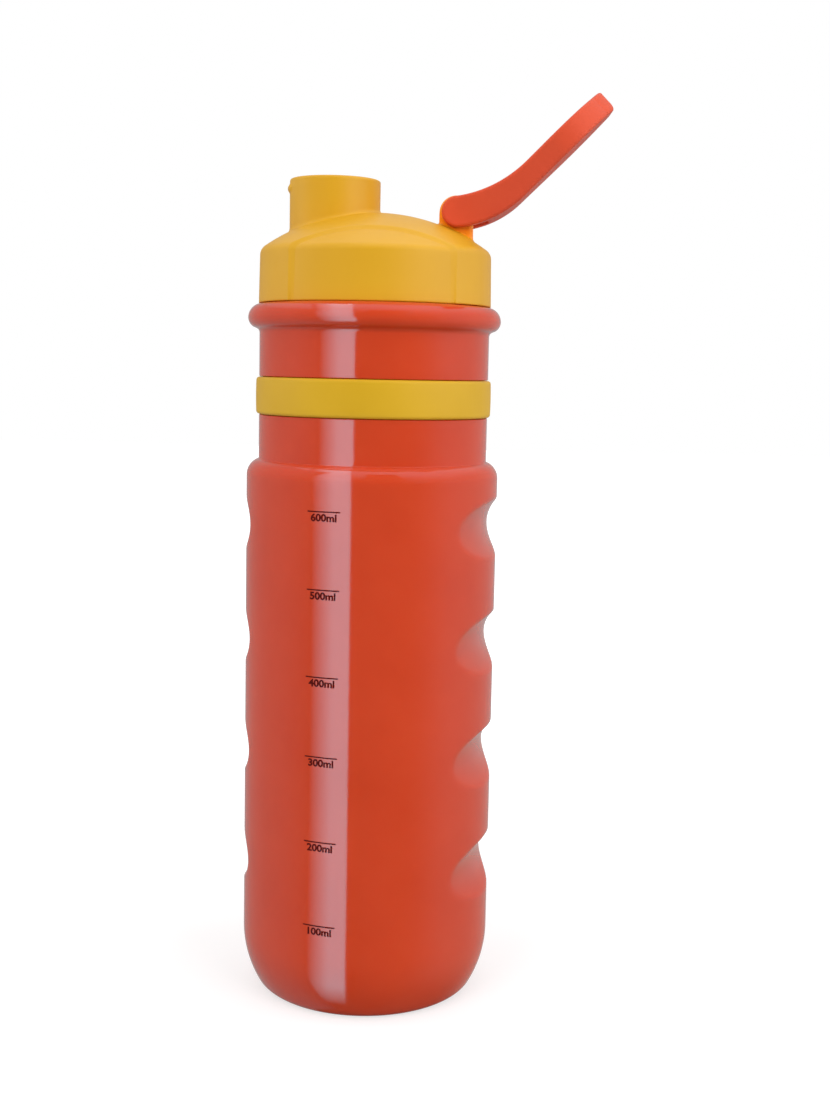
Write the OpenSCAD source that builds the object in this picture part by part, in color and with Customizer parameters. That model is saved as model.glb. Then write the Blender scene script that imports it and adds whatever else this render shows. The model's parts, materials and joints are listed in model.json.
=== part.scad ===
// Sports squeeze bottle with a screw cap, a flip lid over the spout and an ice tube inside.
// Millimetres, +Z up, origin on the bottle's axis in the plane that it stands on.
// The spout is on the -X side of the cap and the lid's hinge on the +X side.
// The lid is drawn open, as it is carried while drinking.

/* [Bottle body] */
// Outer radius of the grip body
body_r = 37; // [35:0.5:40]
// Height from the table to the top of the shoulder
shoulder_top = 159.2; // [150:0.2:170]
// Rounding of the shoulder
shoulder_round = 5; // [2:0.1:6]
// Wall of the bottle
body_wall = 1.4; // [1:0.1:2]
// Thickness of the base
base_wall = 2.6; // [2:0.1:4]
// How far the rounded base draws in from the body's side
base_inset = 8; // [6:0.5:10]
// Height of the rounded base
base_rise = 17.8; // [14:0.2:20]
// Rounding of the heel, where the base meets the table
heel_round = 4.5; // [3:0.1:5]
// Radius of the pushed-up middle of the base
push_up_r = 21; // [15:0.5:24]
// Height of the pushed-up middle of the base
push_up_rise = 3; // [1:0.2:5]

/* [Finger grooves] */
// Number of finger grooves on each side of the grip
groove_count = 4; // [2:1:4]
// Height of the lowest groove's middle
groove_first = 39.7; // [36:0.1:42]
// Height from one groove to the next
groove_pitch = 33.5; // [28:0.5:34]
// Radius of a groove's round section
groove_section_r = 11.1; // [9:0.1:14]
// Greatest depth of a groove, in its middle
groove_depth = 4; // [2:0.1:4.8]
// Angle round the body, from the deepest point, at which a groove runs out
groove_run_out = 33.6; // [32:0.1:50]
// Turn of the grooves from the plane of the spout and the hinge
groove_turn = -13.4; // [-180:0.1:180]

/* [Neck and collar] */
// Outer radius of the neck
neck_r = 33.5; // [32:0.1:34.5]
// Wall of the neck under the band
neck_wall = 1.4; // [1:0.1:2]
// Height of the rolled collar's middle
collar_z = 199.7; // [195:0.5:205]
// Radius of the rolled collar's round section
collar_section_r = 4.1; // [3:0.1:5]
// Outer radius of the rolled collar
collar_r = 36.8; // [35:0.1:38]
// Outer radius of the neck finish that carries the thread
finish_r = 30.4; // [29:0.1:30.6]
// Wall of the neck finish
finish_wall = 1.8; // [1.4:0.1:2.5]
// Height of the neck finish above the collar's middle
finish_h = 16.2; // [12:0.1:17]

/* [Grip band] */
// Height of the band's lower edge
band_z = 172; // [165:0.5:178]
// Width of the band
band_h = 10.7; // [6:0.1:16]
// Thickness of the band
band_thick = 2; // [1.4:0.1:3]
// Depth of the groove that the band sits in
band_seat = 1.1; // [0.5:0.1:1.3]
// Rounding of the band's outer edges
band_round = 0.8; // [0.3:0.1:0.9]

/* [Screw cap] */
// Outer radius of the cap's wall at the top
cap_r = 33.5; // [33:0.1:36]
// How much wider the cap's wall is at the bottom
cap_draft = 0.27; // [0:0.01:0.6]
// Height of the cap's wall, from its bottom edge to the middle of its rounded shoulder
cap_wall_h = 13.5; // [12:0.1:16]
// Rounding of the cap's shoulder
cap_shoulder_round = 3; // [1:0.1:4]
// Radius of the dome
dome_r = 56; // [45:0.5:80]
// Thickness of the cap
cap_thick = 1.8; // [1.4:0.1:2.2]
// Gap between the cap's bottom edge and the rolled collar
cap_gap = 0.3; // [0.2:0.05:1]
// Gap between the neck finish and the cap's bore, which the thread fills
thread_gap = 1.3; // [1:0.1:1.4]
// Half width of the recessed front and back panels
panel_half_w = 22.6; // [15:0.2:26]
// Distance of the panels' arched upper edge from the cap's axis
panel_edge_y = 24.5; // [20:0.1:30]
// Depth of the panels
panel_depth = 0.7; // [0.3:0.1:1]

/* [Spout] */
// Distance of the spout's axis from the bottle's axis
spout_x = 12.05; // [8:0.05:13]
// Outer radius of the spout
spout_r = 13.1; // [11:0.1:13.5]
// Wall of the spout
spout_wall = 2.2; // [1.5:0.1:3]
// Height of the spout's rim above the top of the dome
spout_rise = 9.2; // [7:0.1:10]
// Rounding of the spout's rim
spout_round = 0.7; // [0.3:0.05:0.75]
// How far the snap nub stands out of the spout
nub_proud = 0.6; // [0.3:0.05:0.8]
// Radius of the snap nub's round section
nub_r = 1.4; // [1:0.1:2]
// Distance of the snap nub's middle below the rim
nub_drop = 2.8; // [2:0.1:3]
// Angle round the spout that the snap nub covers
nub_span = 40; // [20:1:60]

/* [Hinge] */
// Distance of the hinge from the bottle's axis
hinge_x = 23.1; // [22:0.1:24]
// Height of the hinge above the top of the dome
hinge_rise = 0.3; // [0:0.1:2]
// Radius of the lug's round top
lug_r = 4.9; // [4:0.1:5]
// Thickness of the lug
lug_thick = 9.2; // [6:0.1:10]
// Radius of the lid's trunnions
trunnion_r = 1.95; // [1.5:0.05:2.4]
// Length of each trunnion
trunnion_len = 3.2; // [2:0.1:4]
// Running clearance round the trunnions
trunnion_gap = 0.05; // [0.02:0.01:0.1]

/* [Flip lid] */
// Opening angle that the lid is drawn at
lid_open = 135; // [110:1:160]
// Radius of the fork's round ends
arm_r = 4.3; // [3.6:0.1:4.6]
// Thickness of each arm of the fork
arm_thick = 3.3; // [2:0.1:4]
// Gap between the fork and the lug
fork_gap = 0.3; // [0.2:0.05:0.6]
// Height of the lid's skirt rim above the hinge, closed
lid_rim = 3.8; // [3:0.1:4.5]
// Gap between the spout's rim and the lid's plate, closed
lid_gap = 0.3; // [0.2:0.05:0.6]
// Thickness of the lid's plate
lid_plate = 1.2; // [1:0.1:2.5]
// Thickness of the lid's skirt
lid_wall = 1.8; // [1.2:0.1:2.2]
// Gap between the spout and the lid's skirt, closed
skirt_gap = 1.7; // [1.4:0.1:2.5]
// Length of the thumb lip beyond the skirt
thumb_lip = 1.5; // [0.5:0.05:3]
// Radius of the thumb lip, seen from above
thumb_r = 12; // [8:0.5:14]
// Rounding of the thumb lip's outer edge
thumb_round = 2; // [0.5:0.1:3]
// Radius of the bend in the lid's outer face, near the hinge
outer_bend_r = 30; // [20:1:40]
// Radius of the bend in the lid's rim, near the hinge
rim_bend_r = 34; // [28:1:60]

/* [Seals] */
// Thickness of the cap's gasket
gasket_thick = 2; // [1.5:0.1:2.5]
// Gap left round a seal
seal_gap = 0.1; // [0.05:0.01:0.3]
// Radius of the lid's plug, inside its seal
plug_r = 8; // [6:0.1:8.5]
// Depth to which the lid's plug enters the spout
plug_depth = 1.8; // [1:0.1:2.2]
// Gap between the lid's seal and the spout's bore, at the plate
lid_seal_gap = 0.35; // [0.3:0.05:0.6]
// Taper of the lid's seal, over its height
lid_seal_taper = 0.45; // [0.3:0.05:0.8]

/* [Ice tube] */
// Distance of the ice tube from the bottle's axis
tube_x = 11; // [10:0.1:14]
// Outer radius of the tube
tube_r = 11; // [9:0.1:11.5]
// Wall of the tube
tube_wall = 1.2; // [0.8:0.1:1.6]
// Length of the tube
tube_len = 140; // [80:1:150]
// Rounding of the tube's lower end
tube_end_round = 5; // [2:0.5:7]
// Thickness of the stopper's flange
flange_thick = 3; // [2:0.1:5]
// Radius of the spigot that plugs into the cap's socket
spigot_r = 6.45; // [5:0.05:7]
// Length of that spigot
spigot_len = 10; // [6:0.1:11]
// Wall of the cap's socket
socket_wall = 2; // [1.4:0.1:2.5]
// Length of the stopper inside the tube
stopper_len = 10; // [7:0.1:14]
// Clearance of a plug in its socket
plug_gap = 0.06; // [0.03:0.01:0.1]
// Radius of the O-ring's round section
ring_section_r = 0.8; // [0.6:0.05:1]

/* [Hidden] */
$fn = 96;

// Colours of the finished pieces
orange = [0.81, 0.28, 0.16];
yellow = [0.90, 0.67, 0.18];
soft_grey = [0.85, 0.85, 0.83];
milky = [0.88, 0.91, 0.93];

// Length that carries a cut past the faces it goes through
past = 1;

// Base of the bottle: a large side radius meets the heel's rounding
ring_r = body_r - base_inset;
side_round = (pow(base_inset, 2) + pow(base_rise, 2) - 2 * base_rise * heel_round)
    / (2 * (base_inset - heel_round));
side_centre = [body_r - side_round, base_rise];
heel_centre = [ring_r, heel_round];
heel_dir = (heel_centre - side_centre) / norm(heel_centre - side_centre);
heel_join_z = (side_centre + side_round * heel_dir)[1];
push_up_round = (pow(push_up_r, 2) + pow(push_up_rise, 2)) / (2 * push_up_rise);

// Finger grooves: arcs flatter than the body, so that each one runs out at both ends
groove_floor = body_r - groove_depth;
groove_shift = (pow(body_r, 2) - pow(groove_floor, 2))
    / (2 * (groove_floor - body_r * cos(groove_run_out)));
groove_ring_r = groove_floor + groove_shift + groove_section_r;
groove_tops = [for (i = [0 : groove_count - 1]) groove_first + i * groove_pitch];

// Neck and its finish
seat_r = neck_r - band_seat;
neck_bore = seat_r - neck_wall;
finish_top = collar_z + finish_h;
mouth_r = finish_r - finish_wall;
collar_ring_r = collar_r - collar_section_r;
collar_top = collar_z + collar_section_r;

// Cap, from its bottom edge up to the dome
cap_bottom = collar_top + cap_gap;
cap_bore = finish_r + thread_gap;
cap_shoulder = [cap_r - cap_shoulder_round, cap_bottom + cap_wall_h];
dome_z = cap_shoulder[1] - sqrt(pow(dome_r - cap_shoulder_round, 2) - pow(cap_shoulder[0], 2));
dome_top = dome_z + dome_r;
gasket_z = finish_top + seal_gap;
cap_seat = gasket_z + gasket_thick + seal_gap;
under_dome_r = mouth_r - seal_gap;
spout_top = dome_top + spout_rise;
spout_bore = spout_r - spout_wall;

// Hinge and lid, in the lid's own closed frame: u runs from the hinge to the spout, w runs up
hinge = [hinge_x, 0, dome_top + hinge_rise];
spout_u = hinge_x + spout_x;
spout_w = spout_rise - hinge_rise;
plate_w = spout_w + lid_gap;
lid_top = plate_w + lid_plate;
pocket_r = spout_r + skirt_gap;
skirt_r = pocket_r + lid_wall;
lid_end = spout_u + skirt_r + thumb_lip;
fork_in = lug_thick / 2 + fork_gap;
fork_out = fork_in + arm_thick;
slot_end = lug_r + 2 * fork_gap;
outer_bend = [sqrt(pow(outer_bend_r - arm_r, 2) - pow(outer_bend_r - lid_top, 2)), lid_top - outer_bend_r];
rim_bend = [sqrt(pow(rim_bend_r + arm_r, 2) - pow(rim_bend_r - lid_rim, 2)), lid_rim - rim_bend_r];

// Ice tube, its stopper and the cap's socket
socket_r = spigot_r + plug_gap;
flange_top = cap_seat - 2 * gasket_thick - flange_thick;
flange_z = flange_top - flange_thick;
tube_bore = tube_r - tube_wall;
tube_top = flange_z - seal_gap;
stopper_r = tube_bore - plug_gap;
ring_r_mid = stopper_r - ring_section_r;
ring_z = flange_z - stopper_len / 2;

// Half-plane strip from the axis out to r, between two heights
module strip(r, z0, z1) {
    translate([0, z0])
        square([r, z1 - z0]);
}

// Round spot in a half-plane section
module spot(at, r) {
    translate(at)
        circle(r);
}

// Ring section between two radii, with rounded corners
module ring_section(r0, r1, z0, z1, round) {
    translate([r0 + round, z0])
        square([r1 - r0 - 2 * round, z1 - z0]);
    translate([r0, z0 + round])
        square([r1 - r0, z1 - z0 - 2 * round]);
    for (r = [r0 + round, r1 - round], z = [z0 + round, z1 - round])
        spot([r, z], round);
}

// Lower body: flat ring, heel, side rounding, drawn inset by the given wall
module base_section(inset) {
    strip(ring_r, inset, shoulder_top - inset);
    intersection() {
        spot(heel_centre, heel_round - inset);
        strip(body_r, 0, heel_join_z);
    }
    intersection() {
        spot(side_centre, side_round - inset);
        strip(body_r, heel_join_z, base_rise + past);
    }
}

// Grip body above the base, up to its rounded shoulder
module grip_section(inset) {
    strip(body_r - inset, base_rise, shoulder_top - shoulder_round);
    strip(body_r - shoulder_round, base_rise, shoulder_top - inset);
    spot([body_r - shoulder_round, shoulder_top - shoulder_round], shoulder_round - inset);
}

// Neck, band seat, rolled collar and finish
module neck_section() {
    difference() {
        strip(neck_r, base_rise, collar_z);
        translate([seat_r, band_z - seal_gap])
            square([band_seat + past, band_h + 2 * seal_gap]);
    }
    strip(collar_ring_r, collar_z - collar_section_r, collar_top);
    spot([collar_ring_r, collar_z], collar_section_r);
    strip(finish_r, collar_z, finish_top);
}

// The two opposite grooves at one height
module groove_pair(section_r, z) {
    for (side = [0, 180])
        rotate([0, 0, groove_turn + side])
            translate([-groove_shift, 0, z])
                rotate_extrude()
                    translate([groove_ring_r, 0])
                        circle(section_r);
}

// Inside of the bottle, with the grooves' wall standing into it
module bottle_cavity() {
    difference() {
        rotate_extrude()
            difference() {
                union() {
                    base_section(body_wall);
                    grip_section(body_wall);
                    strip(neck_bore, base_rise, collar_z - collar_section_r);
                    strip(mouth_r, base_rise, finish_top + past);
                }
                strip(body_r, 0, base_wall);
                spot([0, push_up_rise - push_up_round], push_up_round + base_wall);
            }
        for (z = groove_tops)
            groove_pair(groove_section_r + body_wall, z);
    }
}

module bottle_body() {
    color(orange)
        difference() {
            rotate_extrude()
                difference() {
                    union() {
                        base_section(0);
                        grip_section(0);
                        neck_section();
                    }
                    spot([0, push_up_rise - push_up_round], push_up_round);
                }
            for (z = groove_tops)
                groove_pair(groove_section_r, z);
            bottle_cavity();
        }
}

module grip_band() {
    color(yellow)
        rotate_extrude()
            ring_section(seat_r + plug_gap, seat_r + band_thick, band_z, band_z + band_h, band_round);
}

// Section of the cap's outside, inset by the panels' depth or by nothing
module cap_section(inset) {
    r = cap_r - inset;
    shoulder = cap_shoulder;
    join_r = dome_r * shoulder[0] / (dome_r - cap_shoulder_round);
    intersection() {
        spot([0, dome_z], dome_r - inset);
        strip(join_r, cap_bottom, dome_top);
    }
    spot(shoulder, cap_shoulder_round - inset);
    polygon([
        [0, cap_bottom], [r + cap_draft, cap_bottom], [r, shoulder[1]], [0, shoulder[1]]
    ]);
}

// Space inside the cap: bore over the neck finish, gasket seat, hollow under the dome
module cap_hollow() {
    rotate_extrude() {
        strip(cap_bore, cap_bottom - past, cap_seat);
        intersection() {
            spot([0, dome_z], dome_r - cap_thick);
            strip(under_dome_r, cap_bottom, dome_top);
        }
    }
}

// Front and back windows of the recessed panels
module panel_windows() {
    for (side = [-1, 1])
        translate([-panel_half_w, side < 0 ? -panel_edge_y - body_r : panel_edge_y, cap_bottom - past])
            cube([2 * panel_half_w, body_r, dome_top - cap_bottom]);
}

module spout_tube() {
    translate([-spout_x, 0, 0]) {
        rotate_extrude()
            ring_section(spout_bore, spout_r, cap_seat, spout_top, spout_round);
        rotate([0, 0, 180 - nub_span / 2])
            rotate_extrude(angle = nub_span)
                spot([spout_r + nub_proud - nub_r, spout_top - nub_drop], nub_r);
    }
}

// Lug that the lid turns on, standing on the dome
module hinge_lug() {
    translate(hinge)
        rotate([90, 0, 0])
            translate([0, 0, -lug_thick / 2])
                linear_extrude(lug_thick) {
                    circle(lug_r);
                    translate([-lug_r, cap_seat - hinge[2]])
                        square([2 * lug_r, hinge[2] - cap_seat]);
                }
}

module screw_cap() {
    color(yellow)
        difference() {
            union() {
                difference() {
                    union() {
                        rotate_extrude()
                            cap_section(panel_depth);
                        difference() {
                            rotate_extrude()
                                cap_section(0);
                            panel_windows();
                        }
                        spout_tube();
                        hinge_lug();
                    }
                    cap_hollow();
                }
                intersection() {
                    translate([tube_x, 0, flange_top + seal_gap])
                        cylinder(r = socket_r + socket_wall, h = dome_top - flange_top);
                    rotate_extrude()
                        cap_section(panel_depth);
                }
            }
            translate([-spout_x, 0, cap_bottom])
                cylinder(r = spout_bore, h = spout_top - cap_bottom + past);
            translate([tube_x, 0, flange_top])
                cylinder(r = socket_r, h = spigot_len + 2 * seal_gap);
            translate(hinge)
                rotate([90, 0, 0])
                    cylinder(r = trunnion_r + trunnion_gap, h = lug_thick + past, center = true);
        }
}

module cap_gasket() {
    color(soft_grey)
        translate([0, 0, gasket_z])
            difference() {
                cylinder(r = cap_bore - seal_gap, h = gasket_thick);
                translate([0, 0, -past])
                    cylinder(r = under_dome_r, h = gasket_thick + 2 * past);
            }
}

// Side view of the lid, closed, in u and w
module lid_side(plate) {
    top = lid_top - plate;
    difference() {
        union() {
            spot([0, 0], arm_r - plate);
            intersection() {
                spot(outer_bend, outer_bend_r - plate);
                polygon([
                    [0, 0], [-outer_bend[0], outer_bend_r - lid_top],
                    [0, lid_top], [outer_bend[0], lid_top],
                    [outer_bend[0], -arm_r], rim_bend * arm_r / norm(rim_bend)
                ]);
            }
            translate([outer_bend[0], -arm_r])
                square([lid_end - thumb_round - outer_bend[0], top + arm_r]);
            translate([outer_bend[0], -arm_r])
                square([lid_end - outer_bend[0], top - thumb_round + arm_r]);
            spot([lid_end - thumb_round, top - thumb_round], thumb_round);
        }
        spot(rim_bend, rim_bend_r);
        translate([rim_bend[0], -arm_r - past])
            square([lid_end, lid_rim + arm_r + past]);
    }
}

// Tongue of the lid, seen from above: a round end that widens from the fork
module lid_plan(r, half_w) {
    reach = norm([spout_u, half_w]);
    turn = 180 - atan2(half_w, spout_u) - acos(r / reach);
    touch = [spout_u + r * cos(turn), r * sin(turn)];
    spot([spout_u, 0], r);
    polygon([
        [-arm_r, -half_w], [0, -half_w], [touch[0], -touch[1]],
        touch, [0, half_w], [-arm_r, half_w]
    ]);
}

// Turns a lid drawn in u and w into its place on the hinge
module lid_place() {
    translate(hinge)
        rotate([0, lid_open, 0])
            mirror([1, 0, 0])
                children();
}

module across(half_w) {
    rotate([90, 0, 0])
        translate([0, 0, -half_w])
            linear_extrude(2 * half_w)
                children();
}

module upright() {
    translate([0, 0, -2 * arm_r])
        linear_extrude(lid_top + 4 * arm_r)
            children();
}

module flip_lid() {
    color(orange)
        lid_place() {
            difference() {
                intersection() {
                    across(skirt_r)
                        lid_side(0);
                    upright() {
                        lid_plan(skirt_r, fork_out);
                        spot([lid_end - thumb_r, 0], thumb_r);
                    }
                }
                translate([spout_u, 0, 0])
                    cylinder(r = pocket_r, h = plate_w);
                intersection() {
                    across(skirt_r)
                        lid_side(lid_plate);
                    upright()
                        intersection() {
                            lid_plan(pocket_r, fork_out - lid_wall);
                            translate([slot_end + lid_wall, -skirt_r])
                                square([spout_u, 2 * skirt_r]);
                        }
                    translate([0, -skirt_r, -2 * arm_r])
                        cube([lid_end, 2 * skirt_r, plate_w + 2 * arm_r]);
                }
                translate([-2 * arm_r, -fork_in, -2 * arm_r])
                    cube([slot_end + 2 * arm_r, 2 * fork_in, lid_top + 4 * arm_r]);
            }
            translate([spout_u, 0, spout_w - plug_depth])
                cylinder(r = plug_r, h = plate_w + lid_plate / 2 - spout_w + plug_depth);
            for (side = [-1, 1])
                rotate([side * 90, 0, 0])
                    translate([0, 0, fork_in - trunnion_len])
                        cylinder(r = trunnion_r, h = trunnion_len + arm_thick / 2);
        }
}

// Soft ring round the lid's plug, tapered so that it swings into the spout's bore
module lid_seal() {
    outer = spout_bore - lid_seal_gap;
    height = plate_w - spout_w + plug_depth - 2 * seal_gap;
    color(soft_grey)
        lid_place()
            translate([spout_u, 0, plate_w - seal_gap - height])
                rotate_extrude()
                    polygon([
                        [plug_r + plug_gap, 0], [outer - lid_seal_taper, 0],
                        [outer, height], [plug_r + plug_gap, height]
                    ]);
}

module ice_tube() {
    z0 = tube_top - tube_len;
    color(milky)
        translate([tube_x, 0, 0])
            rotate_extrude()
                difference() {
                    union() {
                        strip(tube_r, z0 + tube_end_round, tube_top);
                        strip(tube_r - tube_end_round, z0, tube_top);
                        spot([tube_r - tube_end_round, z0 + tube_end_round], tube_end_round);
                    }
                    strip(tube_bore, z0 + tube_end_round, tube_top + past);
                    strip(tube_r - tube_end_round, z0 + tube_wall, tube_top);
                    spot([tube_r - tube_end_round, z0 + tube_end_round], tube_end_round - tube_wall);
                }
}

module ice_tube_stopper() {
    groove_r = ring_r_mid - ring_section_r - plug_gap;
    groove_h = 2 * (ring_section_r + seal_gap);
    color(milky)
        translate([tube_x, 0, 0])
            rotate_extrude()
                difference() {
                    union() {
                        strip(spigot_r, flange_z, flange_top + spigot_len);
                        strip(tube_r, flange_z, flange_top);
                        strip(stopper_r, flange_z - stopper_len, flange_z);
                    }
                    translate([groove_r, ring_z - groove_h / 2])
                        square([tube_r, groove_h]);
                }
}

module stopper_o_ring() {
    color(soft_grey)
        translate([tube_x, 0, ring_z])
            rotate_extrude()
                spot([ring_r_mid, 0], ring_section_r);
}

bottle_body();
grip_band();
screw_cap();
cap_gasket();
flip_lid();
lid_seal();
ice_tube();
ice_tube_stopper();
stopper_o_ring();
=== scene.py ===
"""Looks of a sports squeeze bottle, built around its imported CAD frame.

Shapes are worked out in millimetres, in the frame's own axes, and stored in metres.
Round pieces are lathed from their sections. The cap and the lid are meshed from distance fields,
so that their walls, ribs and rounded edges flow into each other as moulded plastic does.
"""

import json
import math

import bpy
import numpy as np
from mathutils import Matrix, Vector

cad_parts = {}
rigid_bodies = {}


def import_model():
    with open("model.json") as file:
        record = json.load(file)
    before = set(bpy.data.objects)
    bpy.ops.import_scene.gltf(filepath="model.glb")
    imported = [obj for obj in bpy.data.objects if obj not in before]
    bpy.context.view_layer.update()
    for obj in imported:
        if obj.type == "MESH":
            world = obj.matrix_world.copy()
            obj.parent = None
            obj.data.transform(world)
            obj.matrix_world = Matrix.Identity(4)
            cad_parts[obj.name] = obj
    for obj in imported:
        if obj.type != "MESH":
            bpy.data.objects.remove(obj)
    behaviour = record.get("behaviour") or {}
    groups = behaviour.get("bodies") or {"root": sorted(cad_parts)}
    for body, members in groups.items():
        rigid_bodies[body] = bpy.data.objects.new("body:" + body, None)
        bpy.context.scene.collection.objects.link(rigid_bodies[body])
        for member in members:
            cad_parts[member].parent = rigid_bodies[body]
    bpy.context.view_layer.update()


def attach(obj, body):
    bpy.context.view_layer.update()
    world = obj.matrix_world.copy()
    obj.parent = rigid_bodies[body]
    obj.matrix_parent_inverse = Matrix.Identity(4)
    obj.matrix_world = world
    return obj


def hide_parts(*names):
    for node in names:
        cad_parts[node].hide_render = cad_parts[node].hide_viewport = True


for leftover in list(bpy.data.objects):
    bpy.data.objects.remove(leftover)
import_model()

MM = 0.001
TAU = 2 * math.pi

# Main sizes, in millimetres, as in the CAD source
BODY_R = 37.0
BODY_WALL = 1.4
SHOULDER_TOP = 159.2
SHOULDER_ROUND = 5.0
BASE_RISE = 17.8
BASE_INSET = 8.0
BASE_WALL = 2.6
HEEL_ROUND = 4.5
PUSH_UP_RISE = 3.0
PUSH_UP_ROUND = 75.0
NECK_R = 33.5
NECK_BORE = 31.0
SEAT_R = 32.4
BAND_Z = 172.0
BAND_H = 10.7
COLLAR_Z = 199.7
COLLAR_RING_R = 32.7
COLLAR_SECTION_R = 4.1
FINISH_R = 30.4
FINISH_TOP = 215.9
MOUTH_R = 28.6
CAP_EDGE = 203.86
CAP_R = 33.5
CAP_BORE = 31.7
CAP_SEAT = 218.1
CAP_THICK = 1.8
CAP_SHOULDER = (30.5, 217.6)
CAP_SHOULDER_ROUND = 3.0
DOME_R = 56.0
DOME_BORE = 28.5
DOME_Z = CAP_SHOULDER[1] - math.sqrt((DOME_R - CAP_SHOULDER_ROUND) ** 2 - CAP_SHOULDER[0] ** 2)
DOME_TOP = DOME_Z + DOME_R
SPOUT_X = -12.05
SPOUT_R = 13.1
SPOUT_BORE = 10.9
SPOUT_TOP = DOME_TOP + 9.2
HINGE = np.array([23.1, 0.0, DOME_TOP + 0.3])
TUBE_X = 11.0
TUBE_R = 11.0
TUBE_BORE = 9.8
TUBE_TOP = 208.0
SPIGOT_R = 6.45
SPIGOT_TOP = 221.1
PLUG_R = 8.0


# Sections in the half-plane

def arc(centre, radius, start, end, steps=12):
    """Points on an arc, from one angle in degrees to another."""
    angles = np.radians(np.linspace(start, end, steps + 1))
    return [(centre[0] + radius * math.cos(a), centre[1] + radius * math.sin(a)) for a in angles]


MOST_REACH = 0.49


def rounded(corners, closed=False, steps=5):
    """A path through corners (a, b, rounding), with each rounding drawn as an arc."""
    points = []
    count = len(corners)
    for i, corner in enumerate(corners):
        here = np.array(corner[:2], float)
        radius = corner[2] if len(corner) > 2 else 0.0
        if radius <= 0 or (not closed and i in (0, count - 1)):
            points.append(tuple(here))
            continue
        before = np.array(corners[i - 1][:2], float) - here
        after = np.array(corners[(i + 1) % count][:2], float) - here
        length_before, length_after = np.linalg.norm(before), np.linalg.norm(after)
        before, after = before / length_before, after / length_after
        half = math.acos(float(np.clip(before @ after, -1, 1))) / 2
        reach = min(radius / math.tan(half), MOST_REACH * length_before, MOST_REACH * length_after)
        radius = reach * math.tan(half)
        centre = here + (before + after) / np.linalg.norm(before + after) * radius / math.sin(half)
        first, last = here + before * reach - centre, here + after * reach - centre
        for t in np.linspace(0, 1, steps + 1):
            spoke = first * (1 - t) + last * t
            points.append(tuple(centre + spoke / np.linalg.norm(spoke) * radius))
    return points


def stretch(a, b, step):
    """Points after a, up to b, in equal steps no longer than step; none if the two coincide."""
    length = math.dist(a, b)
    if length < 1e-6:
        return []
    pieces = max(1, math.ceil(length / step))
    start, along = np.array(a), np.array(b) - np.array(a)
    return [tuple(start + along * k / pieces) for k in range(1, pieces + 1)]


def subdivided(points, step, closed=False):
    """The path with every stretch longer than step cut into equal shorter ones."""
    path = list(points) + ([points[0]] if closed else [])
    out = [path[0]]
    for a, b in zip(path[:-1], path[1:]):
        out += stretch(a, b, step)
    return np.array(out[:-1] if closed else out)


def section_field(loop, margin=6.0, pitch=0.12):
    """Signed distance to a closed loop in the plane, as a function that reads a fine grid of it."""
    loop = np.array(loop, float)
    low = loop.min(0) - margin
    count = np.ceil((loop.max(0) + margin - low) / pitch).astype(int) + 1
    a = low[0] + pitch * np.arange(count[0])
    b = low[1] + pitch * np.arange(count[1])
    grid_a, grid_b = np.meshgrid(a, b, indexing="ij")
    nearest = np.full(grid_a.shape, 1e9)
    inside = np.zeros(grid_a.shape, bool)
    for p, q in zip(loop, np.roll(loop, -1, 0)):
        along = q - p
        size = along @ along
        if size < 1e-12:
            continue
        t = np.clip(((grid_a - p[0]) * along[0] + (grid_b - p[1]) * along[1]) / size, 0, 1)
        gap = (grid_a - p[0] - t * along[0]) ** 2 + (grid_b - p[1] - t * along[1]) ** 2
        np.minimum(nearest, gap, out=nearest)
        if p[1] != q[1]:
            crosses = (p[1] > grid_b) != (q[1] > grid_b)
            inside ^= crosses & (grid_a < p[0] + (grid_b - p[1]) * along[0] / along[1])
    signed = np.where(inside, -1.0, 1.0) * np.sqrt(nearest)

    def read(u, v):
        fu = np.clip((u - low[0]) / pitch, 0, count[0] - 1.001)
        fv = np.clip((v - low[1]) / pitch, 0, count[1] - 1.001)
        i, j = fu.astype(int), fv.astype(int)
        fu, fv = fu - i, fv - j
        lower = signed[i, j] * (1 - fu) + signed[i + 1, j] * fu
        upper = signed[i, j + 1] * (1 - fu) + signed[i + 1, j + 1] * fu
        return lower * (1 - fv) + upper * fv

    return read


# Distance fields

def join(a, b, k):
    """Union of two fields with a soft fillet."""
    h = np.clip(0.5 + 0.5 * (b - a) / k, 0, 1)
    return b * (1 - h) + a * h - k * h * (1 - h)


def cut(a, b, k):
    """Field a with field b taken away, the edge softened."""
    return -join(-a, b, k)


def meet(a, b, r):
    """Intersection of two fields, its edge rounded with radius r."""
    ua, ub = np.maximum(a + r, 0), np.maximum(b + r, 0)
    return np.minimum(np.maximum(a, b), -r) + np.hypot(ua, ub)


def ramp(value, start, end):
    """0 before start, 1 after end, smooth between."""
    t = np.clip((value - start) / (end - start), 0, 1)
    return t * t * (3 - 2 * t)


THREAD_PITCH = 4.0
THREAD_FADE = (-0.05, 0.45)


def helix_gap(angle, z, z_start, turns):
    """Height of a point above the nearest turn of a right-hand thread, and the share of its depth
    that is left there, because the thread fades out at both ends."""
    best = np.full(np.shape(z), 1e9)
    fade = np.zeros(np.shape(z))
    for turn in range(-1, int(turns) + 2):
        run = np.mod(angle, TAU) + TAU * turn
        gap = z - z_start - THREAD_PITCH * run / TAU
        left = ramp(np.minimum(run, TAU * turns - run), *THREAD_FADE)
        closer = np.abs(gap) < np.abs(best)
        best = np.where(closer, gap, best)
        fade = np.where(closer, left, fade)
    return best, fade


# Meshes

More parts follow.
